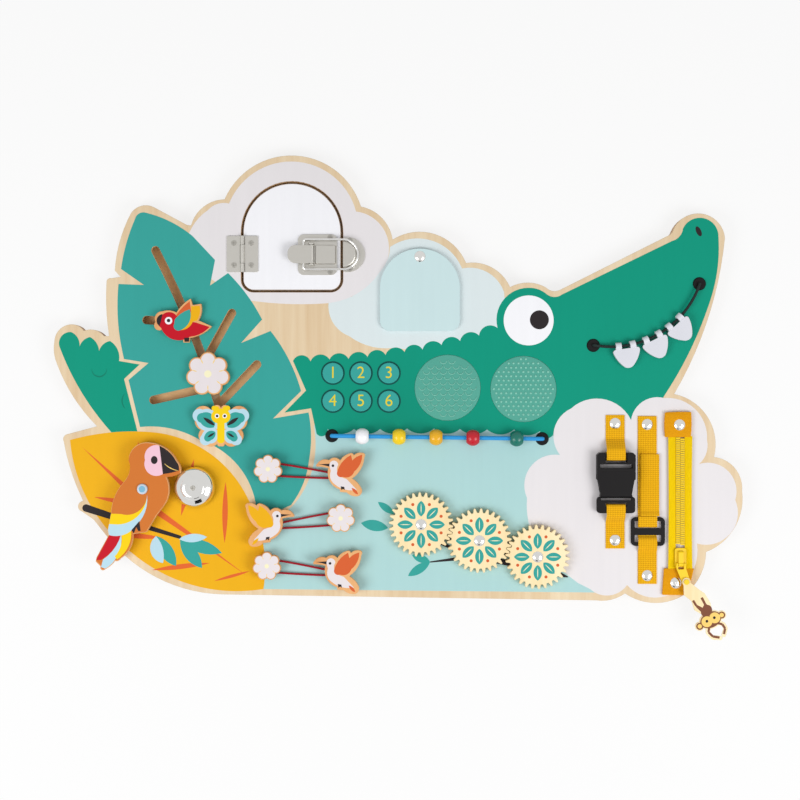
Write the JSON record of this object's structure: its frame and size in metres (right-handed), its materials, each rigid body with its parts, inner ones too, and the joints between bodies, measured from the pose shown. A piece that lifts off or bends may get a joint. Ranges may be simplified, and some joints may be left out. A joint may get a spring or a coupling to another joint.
{
  "type": "busy board",
  "caption": "Flat wooden activity board in the outline of a long-snouted reptile, with door, latch, bell, beads, gears, buttons, buckle and zip.",
  "frame": {"origin": "on the back face, at the middle of the board's length, 190 mm above its lowest edge", "axes": "+X towards the snout, +Y towards the top edge, +Z out of the printed face"},
  "size_m": [0.6006, 0.4213, 0.0293],
  "materials": {
    "panel_wood": "lacquered birch plywood with printed colour fields",
    "white_wood": "white lacquer on plywood, semi-matt",
    "pale_wood": "pale blue print on plywood, semi-matt",
    "parrot_wood": "orange and yellow print on wood, semi-matt",
    "figure_wood": "coloured print on wood, semi-matt",
    "gear_wood": "striped print on wood, semi-matt",
    "button_wood": "teal lacquer with a yellow digit",
    "bead_red": "gloss lacquer",
    "bead_yellow": "gloss lacquer",
    "bead_green": "gloss lacquer",
    "bead_white": "gloss lacquer",
    "tooth_white": "gloss",
    "black_plastic": "fine satin",
    "white_plastic": "satin",
    "nickel": "bright nickel plate",
    "steel": "zinc plated",
    "webbing_yellow": "woven webbing",
    "tape_yellow": "woven zip tape",
    "zip_yellow": "moulded",
    "cord_blue": "braided cord",
    "cord_red": "elastic cord",
    "cord_white": "braided cord",
    "soft_pad": "printed tactile film",
    "rubber_dark": "matt",
    "tag_wood": "white wood with a brown print"
  },
  "bodies": {
    "board": {"front_panel": "panel_wood", "back_panel": "white_wood", "touch_pads": "soft_pad", "abacus_cord": "cord_blue", "mouth_cord": "cord_white", "cord_grommets": "white_plastic", "bell_dome": "nickel", "panel_screws": "steel", "hinge_leaf_frame": "nickel", "hinge_pin": "steel", "latch_catch": "nickel", "dome_rivets": "nickel", "parrot_pin": "nickel", "spacer_posts": "white_wood", "hummingbirds": "figure_wood", "fixed_flowers": "figure_wood", "elastic_loops": "cord_red", "buckle_strap_upper": "webbing_yellow", "buckle_strap_lower": "webbing_yellow", "buckle_socket": "black_plastic", "grip_strap_upper": "webbing_yellow", "grip_strap_lower": "webbing_yellow", "strap_ring": "black_plastic", "zip_tape": "tape_yellow", "zip_teeth": "zip_yellow", "button_springs": "rubber_dark"},
    "door": {"door": "white_wood", "hinge_leaf_door": "nickel", "door_screws": "steel", "latch_base": "nickel"},
    "latch_lever": {"latch_lever": "nickel"},
    "latch_bail": {"latch_bail": "nickel"},
    "swing_flap": {"swing_flap": "pale_wood"},
    "parrot": {"parrot": "parrot_wood"},
    "bird_slider": {"bird_slider": "figure_wood"},
    "flower_slider": {"flower_slider": "figure_wood"},
    "butterfly_slider": {"butterfly_slider": "figure_wood"},
    "bead_1": {"bead_1": "bead_white"},
    "bead_2": {"bead_2": "bead_yellow"},
    "bead_3": {"bead_3": "bead_yellow"},
    "bead_4": {"bead_4": "bead_red"},
    "bead_5": {"bead_5": "bead_green"},
    "gear_1": {"gear_1": "gear_wood"},
    "gear_2": {"gear_2": "gear_wood"},
    "gear_3": {"gear_3": "gear_wood"},
    "tooth_1": {"tooth_1": "tooth_white"},
    "tooth_2": {"tooth_2": "tooth_white"},
    "tooth_3": {"tooth_3": "tooth_white"},
    "buckle_plug": {"buckle_plug": "black_plastic", "buckle_prongs": "black_plastic"},
    "grip_flap": {"grip_flap": "webbing_yellow"},
    "zip_slider": {"zip_slider": "zip_yellow"},
    "zip_pull": {"zip_pull": "zip_yellow"},
    "zip_tag": {"zip_tag": "tag_wood"},
    "button_1": {"button_1": "button_wood"},
    "button_2": {"button_2": "button_wood"},
    "button_3": {"button_3": "button_wood"},
    "button_4": {"button_4": "button_wood"},
    "button_5": {"button_5": "button_wood"},
    "button_6": {"button_6": "button_wood"}
  },
  "joints": [
    {"name": "door_hinge", "type": "hinge", "parent": "board", "child": "door", "pos_m": [-0.1356, 0.1089, 0.01485], "axis": [0, -1, 0], "range_deg": [0, 150]},
    {"name": "latch_lever_hinge", "type": "hinge", "parent": "door", "child": "latch_lever", "pos_m": [-0.0755, 0.1083, 0.017], "axis": [0, 1, 0], "range_deg": [0, 120]},
    {"name": "latch_bail_hinge", "type": "hinge", "parent": "latch_lever", "child": "latch_bail", "pos_m": [-0.0822, 0.1083, 0.0176], "axis": [0, 1, 0], "range_deg": [-144, 0]},
    {"name": "flap_swing", "type": "hinge", "parent": "board", "child": "swing_flap", "pos_m": [0.019, 0.1066, 0.0133], "axis": [0, 0, 1], "range_deg": [-25, 180]},
    {"name": "parrot_peck", "type": "hinge", "parent": "board", "child": "parrot", "pos_m": [-0.2212, -0.0953, 0.017], "axis": [0, 0, 1], "range_deg": [-0.5, 25]},
    {"name": "bird_slide", "type": "hinge", "parent": "board", "child": "bird_slider", "pos_m": [-0.9215, -0.2565, 0.013], "axis": [0, 0, 1], "range_deg": [-0.3, 4.7]},
    {"name": "flower_slide", "type": "hinge", "parent": "board", "child": "flower_slider", "pos_m": [-0.9215, -0.2565, 0.013], "axis": [0, 0, 1], "range_deg": [-0.5, 0.3]},
    {"name": "butterfly_slide", "type": "hinge", "parent": "board", "child": "butterfly_slider", "pos_m": [-0.9215, -0.2565, 0.013], "axis": [0, 0, 1], "range_deg": [-1, 0.3]},
    {"name": "bead_1_slide", "type": "slide", "parent": "board", "child": "bead_1", "axis": [0.9999, -0.0142, 0], "range_m": [-0.015, 0.02]},
    {"name": "bead_2_slide", "type": "slide", "parent": "board", "child": "bead_2", "axis": [0.9999, -0.0142, 0], "range_m": [-0.02, 0.02]},
    {"name": "bead_3_slide", "type": "slide", "parent": "board", "child": "bead_3", "axis": [0.9999, -0.0142, 0], "range_m": [-0.02, 0.02]},
    {"name": "bead_4_slide", "type": "slide", "parent": "board", "child": "bead_4", "axis": [0.9999, -0.0142, 0], "range_m": [-0.02, 0.026]},
    {"name": "bead_5_slide", "type": "slide", "parent": "board", "child": "bead_5", "axis": [0.9999, -0.0142, 0], "range_m": [-0.026, 0.0115]},
    {"name": "gear_1_spin", "type": "hinge", "parent": "board", "child": "gear_1", "pos_m": [0.02, -0.1264, 0.014], "axis": [0, 0, 1], "continuous": true},
    {"name": "gear_2_spin", "type": "hinge", "parent": "board", "child": "gear_2", "pos_m": [0.07059, -0.14043, 0.014], "axis": [0, 0, 1], "continuous": true},
    {"name": "gear_3_spin", "type": "hinge", "parent": "board", "child": "gear_3", "pos_m": [0.12118, -0.15446, 0.014], "axis": [0, 0, 1], "continuous": true},
    {"name": "tooth_1_slide", "type": "hinge", "parent": "board", "child": "tooth_1", "pos_m": [0.1856, 0.1093, 0.017], "axis": [0, 0, 1], "range_deg": [-8, 1.9]},
    {"name": "tooth_2_slide", "type": "hinge", "parent": "board", "child": "tooth_2", "pos_m": [0.1856, 0.1093, 0.017], "axis": [0, 0, 1], "range_deg": [-1.9, 1]},
    {"name": "tooth_3_slide", "type": "hinge", "parent": "board", "child": "tooth_3", "pos_m": [0.1856, 0.1093, 0.017], "axis": [0, 0, 1], "range_deg": [-1, 14]},
    {"name": "buckle_slide", "type": "slide", "parent": "board", "child": "buckle_plug", "axis": [0, -1, 0], "range_m": [0, 0.024], "deforming": ["buckle_prongs", "buckle_strap_lower"]},
    {"name": "grip_flap_hinge", "type": "hinge", "parent": "board", "child": "grip_flap", "pos_m": [0.2192, -0.11965, 0.0171], "axis": [1, 0, 0], "range_deg": [0, 150]},
    {"name": "zip_slide", "type": "slide", "parent": "board", "child": "zip_slider", "axis": [0, 1, 0], "range_m": [0, 0.09], "deforming": ["zip_teeth"]},
    {"name": "zip_pull_hinge", "type": "hinge", "parent": "zip_slider", "child": "zip_pull", "pos_m": [0.2456, -0.161, 0.0194], "axis": [-1, 0, 0], "range_deg": [0, 140]},
    {"name": "zip_tag_swing", "type": "hinge", "parent": "zip_pull", "child": "zip_tag", "pos_m": [0.25, -0.176, 0.0204], "axis": [0, 0, 1], "range_deg": [-60, 40]},
    {"name": "button_1_press", "type": "slide", "parent": "board", "child": "button_1", "axis": [0, 0, -1], "range_m": [0, 0.002], "stiffness_N_per_m": 300, "springref_m": -0.001, "deforming": ["button_springs"]},
    {"name": "button_2_press", "type": "slide", "parent": "board", "child": "button_2", "axis": [0, 0, -1], "range_m": [0, 0.002], "stiffness_N_per_m": 300, "springref_m": -0.001, "deforming": ["button_springs"]},
    {"name": "button_3_press", "type": "slide", "parent": "board", "child": "button_3", "axis": [0, 0, -1], "range_m": [0, 0.002], "stiffness_N_per_m": 300, "springref_m": -0.001, "deforming": ["button_springs"]},
    {"name": "button_4_press", "type": "slide", "parent": "board", "child": "button_4", "axis": [0, 0, -1], "range_m": [0, 0.002], "stiffness_N_per_m": 300, "springref_m": -0.001, "deforming": ["button_springs"]},
    {"name": "button_5_press", "type": "slide", "parent": "board", "child": "button_5", "axis": [0, 0, -1], "range_m": [0, 0.002], "stiffness_N_per_m": 300, "springref_m": -0.001, "deforming": ["button_springs"]},
    {"name": "button_6_press", "type": "slide", "parent": "board", "child": "button_6", "axis": [0, 0, -1], "range_m": [0, 0.002], "stiffness_N_per_m": 300, "springref_m": -0.001, "deforming": ["button_springs"]}
  ],
  "couplings": [
    {"joint": "latch_bail_hinge", "follows": "latch_lever_hinge", "ratio": -1.2},
    {"joint": "gear_2_spin", "follows": "gear_1_spin", "ratio": -1},
    {"joint": "gear_3_spin", "follows": "gear_1_spin", "ratio": 1}
  ]
}
